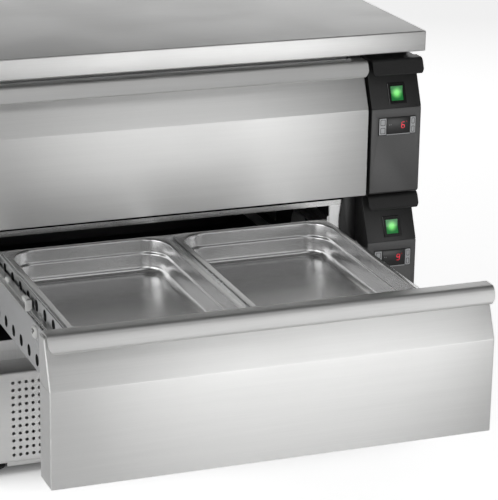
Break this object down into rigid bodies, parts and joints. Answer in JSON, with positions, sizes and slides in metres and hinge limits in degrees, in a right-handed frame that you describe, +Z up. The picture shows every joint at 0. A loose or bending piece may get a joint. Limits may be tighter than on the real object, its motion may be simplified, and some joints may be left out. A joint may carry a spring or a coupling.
{
  "type": "freezer counter",
  "caption": "Low freezer counter: insulated cabinet with full-extension drawers holding pans, control modules beside them and a perforated machine base.",
  "frame": {"origin": "on the floor, at the middle of the bounding box in plan, with the lower drawer open and the upper one closed", "axes": "+Y from the front to the back, along the drawers' travel; +X to the right seen from the front; +Z up"},
  "size_m": [0.93, 1.271, 0.82],
  "materials": {
    "aluminium": "bare fins",
    "anthracite": "moulded, satin",
    "black_plastic": "moulded, fine grain",
    "bright_stainless": "polished, bright",
    "compressor_black": "black enamel",
    "galvanised": "smooth sheet, satin",
    "gasket_grey": "soft, matt",
    "key_grey": "satin",
    "rubber": "matt",
    "slide_steel": "zinc plated",
    "stainless": "brushed, satin",
    "switch_green": "lit from inside"
  },
  "bodies": {
    "cabinet": {"worktop": "stainless", "ceiling_panel": "stainless", "left_wall": "stainless", "duct_wall": "stainless", "back_wall": "stainless", "cavity_floor": "stainless", "middle_shelf": "stainless", "duct_cover": "stainless", "base_front": "stainless", "base_tray": "galvanised", "foot_front_left": "rubber", "foot_front_right": "rubber", "foot_rear_left": "rubber", "foot_rear_right": "rubber", "compressor": "compressor_black", "condenser": "aluminium", "mains_inlet": "black_plastic", "upper_evaporator": "aluminium", "lower_evaporator": "aluminium", "lower_module_housing": "black_plastic", "lower_module_plate": "anthracite", "lower_switch_bezel": "black_plastic", "lower_controller": "black_plastic", "lower_left_slide_rail": "slide_steel", "lower_right_slide_rail": "slide_steel", "upper_module_housing": "black_plastic", "upper_module_plate": "anthracite", "upper_switch_bezel": "black_plastic", "upper_controller": "black_plastic", "upper_left_slide_rail": "slide_steel", "upper_right_slide_rail": "slide_steel"},
    "condenser_fan": {"condenser_fan": "black_plastic"},
    "lower_drawer": {"lower_drawer_front": "stainless", "lower_drawer_lip": "stainless", "lower_drawer_gasket": "gasket_grey", "lower_cross_frame": "galvanised", "lower_left_side": "galvanised", "lower_right_side": "galvanised", "lower_left_pan": "bright_stainless", "lower_right_pan": "bright_stainless"},
    "lower_left_slide_middle": {"lower_left_slide_middle": "slide_steel"},
    "lower_left_key": {"lower_left_key": "key_grey"},
    "lower_right_slide_middle": {"lower_right_slide_middle": "slide_steel"},
    "lower_right_key": {"lower_right_key": "key_grey"},
    "lower_switch_rocker": {"lower_switch_rocker": "switch_green"},
    "lower_evaporator_fan": {"lower_evaporator_fan": "black_plastic"},
    "upper_drawer": {"upper_drawer_front": "stainless", "upper_drawer_lip": "stainless", "upper_drawer_gasket": "gasket_grey", "upper_cross_frame": "galvanised", "upper_left_side": "galvanised", "upper_right_side": "galvanised", "upper_left_pan": "bright_stainless", "upper_right_pan": "bright_stainless"},
    "upper_left_slide_middle": {"upper_left_slide_middle": "slide_steel"},
    "upper_left_key": {"upper_left_key": "key_grey"},
    "upper_right_slide_middle": {"upper_right_slide_middle": "slide_steel"},
    "upper_right_key": {"upper_right_key": "key_grey"},
    "upper_switch_rocker": {"upper_switch_rocker": "switch_green"},
    "upper_evaporator_fan": {"upper_evaporator_fan": "black_plastic"}
  },
  "joints": [
    {"name": "condenser_fan_spin", "type": "hinge", "parent": "cabinet", "child": "condenser_fan", "pos_m": [-0.2105, 0.062, 0.1085], "axis": [0, 1, 0], "continuous": true},
    {"name": "lower_drawer_slide", "type": "slide", "parent": "cabinet", "child": "lower_drawer", "axis": [0, 1, 0], "range_m": [0, 0.571]},
    {"name": "lower_left_middle_slide", "type": "slide", "parent": "cabinet", "child": "lower_left_slide_middle", "axis": [0, 1, 0], "range_m": [0, 0.2855]},
    {"name": "lower_left_key_press", "type": "slide", "parent": "cabinet", "child": "lower_left_key", "axis": [0, 1, 0], "range_m": [0, 0.0008], "stiffness_N_per_m": 600},
    {"name": "lower_right_middle_slide", "type": "slide", "parent": "cabinet", "child": "lower_right_slide_middle", "axis": [0, 1, 0], "range_m": [0, 0.2855]},
    {"name": "lower_right_key_press", "type": "slide", "parent": "cabinet", "child": "lower_right_key", "axis": [0, 1, 0], "range_m": [0, 0.0008], "stiffness_N_per_m": 600},
    {"name": "lower_switch_rocker_tip", "type": "hinge", "parent": "cabinet", "child": "lower_switch_rocker", "pos_m": [0.41145, -0.05173, 0.423], "axis": [1, 0, 0], "range_deg": [-14, 0]},
    {"name": "lower_evaporator_fan_spin", "type": "hinge", "parent": "cabinet", "child": "lower_evaporator_fan", "pos_m": [0.322, 0.1455, 0.3557], "axis": [1, 0, 0], "continuous": true},
    {"name": "upper_drawer_slide", "type": "slide", "parent": "cabinet", "child": "upper_drawer", "axis": [0, -1, 0], "range_m": [0, 0.571]},
    {"name": "upper_left_middle_slide", "type": "slide", "parent": "cabinet", "child": "upper_left_slide_middle", "axis": [0, -1, 0], "range_m": [0, 0.2855]},
    {"name": "upper_left_key_press", "type": "slide", "parent": "cabinet", "child": "upper_left_key", "axis": [0, 1, 0], "range_m": [0, 0.0008], "stiffness_N_per_m": 600},
    {"name": "upper_right_middle_slide", "type": "slide", "parent": "cabinet", "child": "upper_right_slide_middle", "axis": [0, -1, 0], "range_m": [0, 0.2855]},
    {"name": "upper_right_key_press", "type": "slide", "parent": "cabinet", "child": "upper_right_key", "axis": [0, 1, 0], "range_m": [0, 0.0008], "stiffness_N_per_m": 600},
    {"name": "upper_switch_rocker_tip", "type": "hinge", "parent": "cabinet", "child": "upper_switch_rocker", "pos_m": [0.41145, -0.05173, 0.696], "axis": [1, 0, 0], "range_deg": [-14, 0]},
    {"name": "upper_evaporator_fan_spin", "type": "hinge", "parent": "cabinet", "child": "upper_evaporator_fan", "pos_m": [0.322, 0.1455, 0.6287], "axis": [1, 0, 0], "continuous": true}
  ],
  "couplings": [
    {"joint": "lower_left_middle_slide", "follows": "lower_drawer_slide", "ratio": 0.5},
    {"joint": "lower_right_middle_slide", "follows": "lower_drawer_slide", "ratio": 0.5},
    {"joint": "upper_left_middle_slide", "follows": "upper_drawer_slide", "ratio": 0.5},
    {"joint": "upper_right_middle_slide", "follows": "upper_drawer_slide", "ratio": 0.5}
  ]
}
